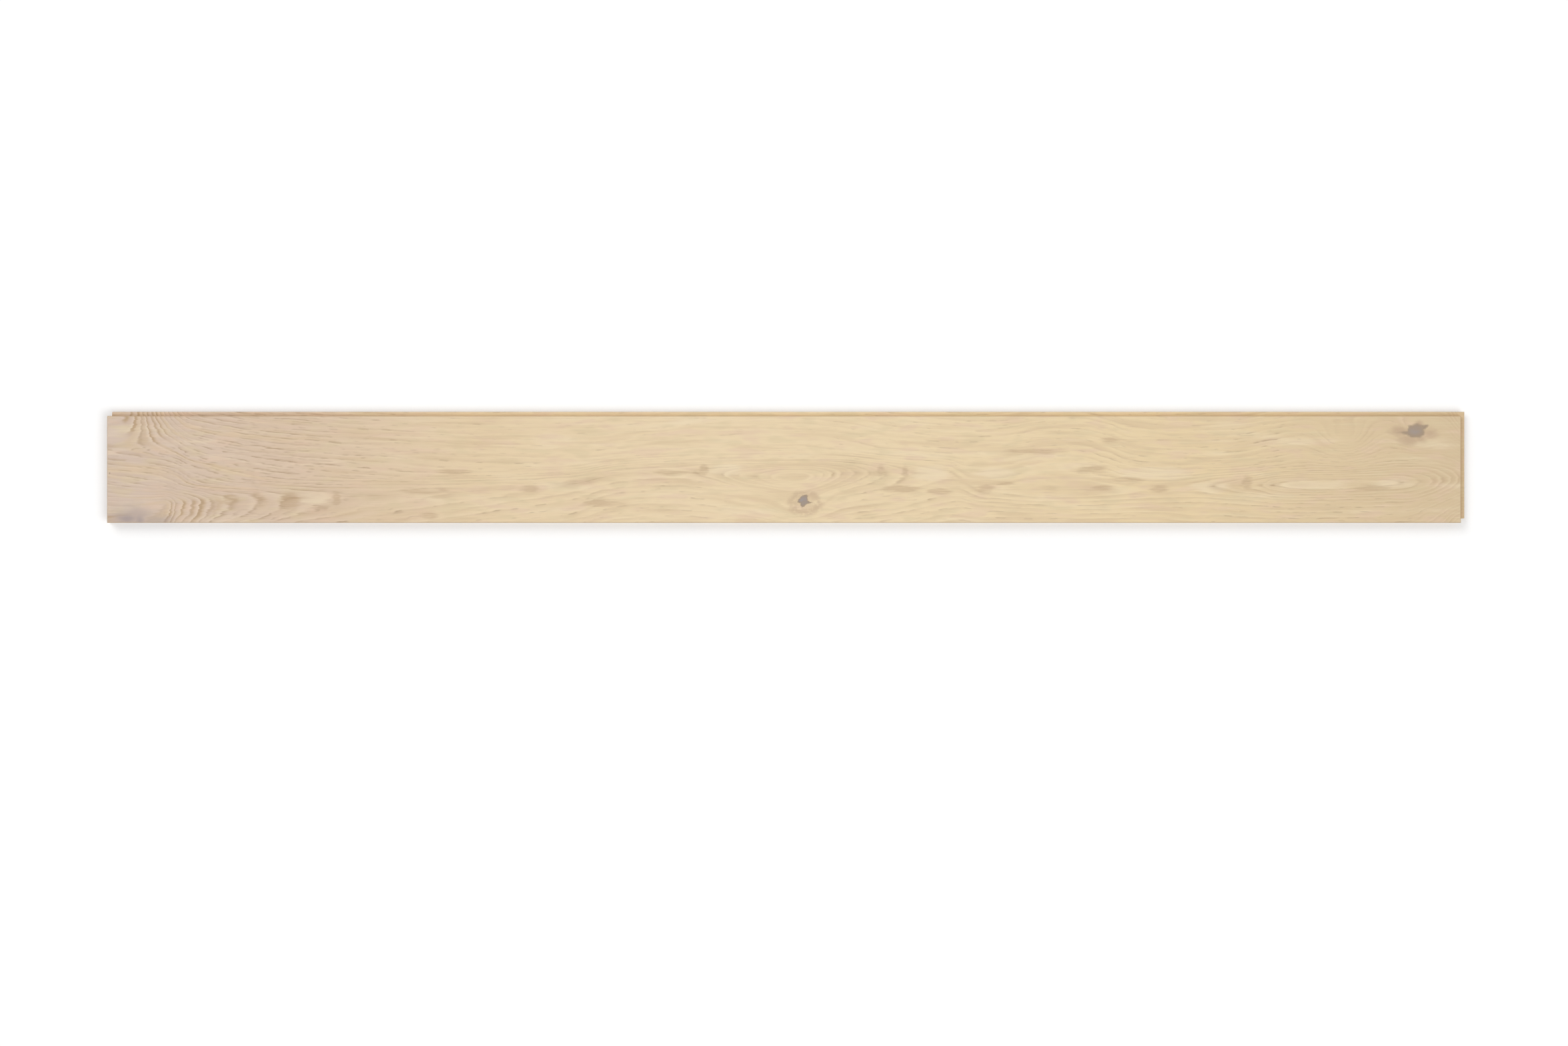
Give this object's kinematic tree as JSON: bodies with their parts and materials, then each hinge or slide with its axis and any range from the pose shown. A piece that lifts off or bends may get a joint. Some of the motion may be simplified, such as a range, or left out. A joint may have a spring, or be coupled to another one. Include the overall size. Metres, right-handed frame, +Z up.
{
  "type": "wide plank floorboard",
  "caption": "Wide pale oak floorboard with tongue and groove along its edges and ends, a bevelled face and relief grooves along the back.",
  "frame": {"origin": "middle of the laid area, on the underside of the board", "axes": "+X along the board towards the tongue end, +Y across it towards the tongue edge, +Z up out of the face"},
  "size_m": [1.906, 0.156, 0.018],
  "materials": {
    "oak": "pale matt lacquered oak, lightly brushed along the grain"
  },
  "bodies": {
    "root": {"oak_floorboard": "oak"}
  },
  "joints": []
}
